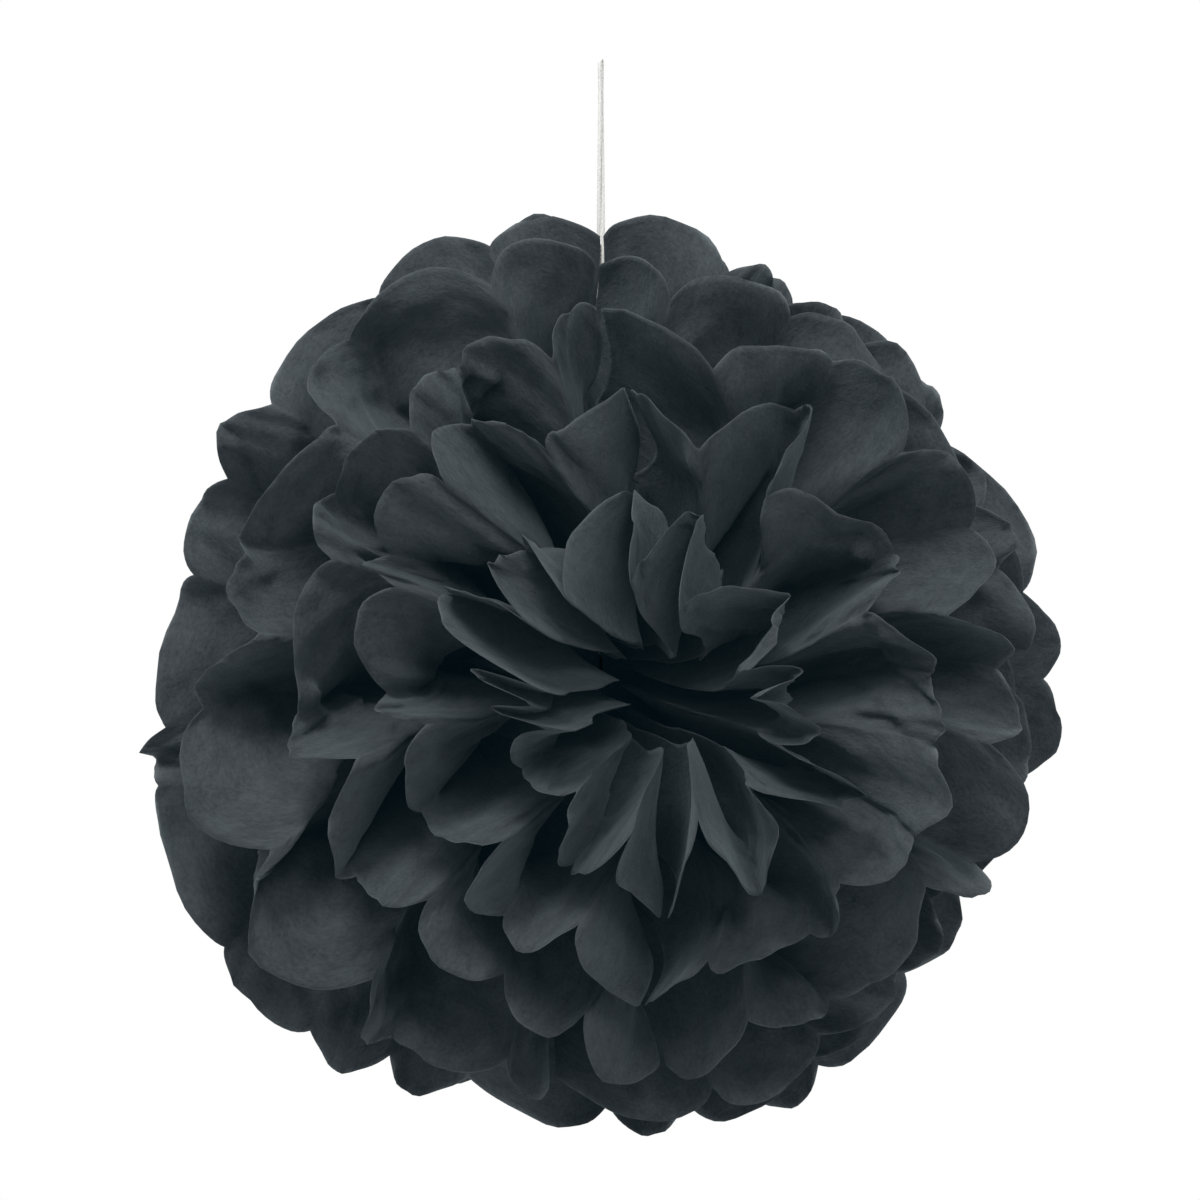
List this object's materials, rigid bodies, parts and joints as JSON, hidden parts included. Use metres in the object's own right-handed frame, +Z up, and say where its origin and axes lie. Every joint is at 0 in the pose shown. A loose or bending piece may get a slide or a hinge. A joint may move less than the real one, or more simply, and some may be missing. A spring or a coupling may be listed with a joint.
{
  "type": "tissue paper pom pom",
  "caption": "Hanging decoration: folded tissue sheets tied at the waist and fluffed into a round flower-like ball on a string loop.",
  "frame": {"origin": "top of the hanging string loop, where a hook or pin holds the ball up", "axes": "+Z up along the string, -Y out of the front of the flower, +X to its right as seen from the front"},
  "size_m": [0.4049, 0.3824, 0.4724],
  "materials": {
    "tissue": "matte",
    "wire": "satin",
    "cotton": "matte"
  },
  "bodies": {
    "root": {"tissue_sheet_01": "tissue", "tissue_sheet_02": "tissue", "tissue_sheet_03": "tissue", "tissue_sheet_04": "tissue", "tissue_sheet_05": "tissue", "tissue_sheet_06": "tissue", "tissue_sheet_07": "tissue", "tissue_sheet_08": "tissue", "tissue_sheet_09": "tissue", "tissue_sheet_10": "tissue", "waist_tie": "wire", "string_knot": "cotton", "hanging_string": "cotton"}
  },
  "joints": []
}
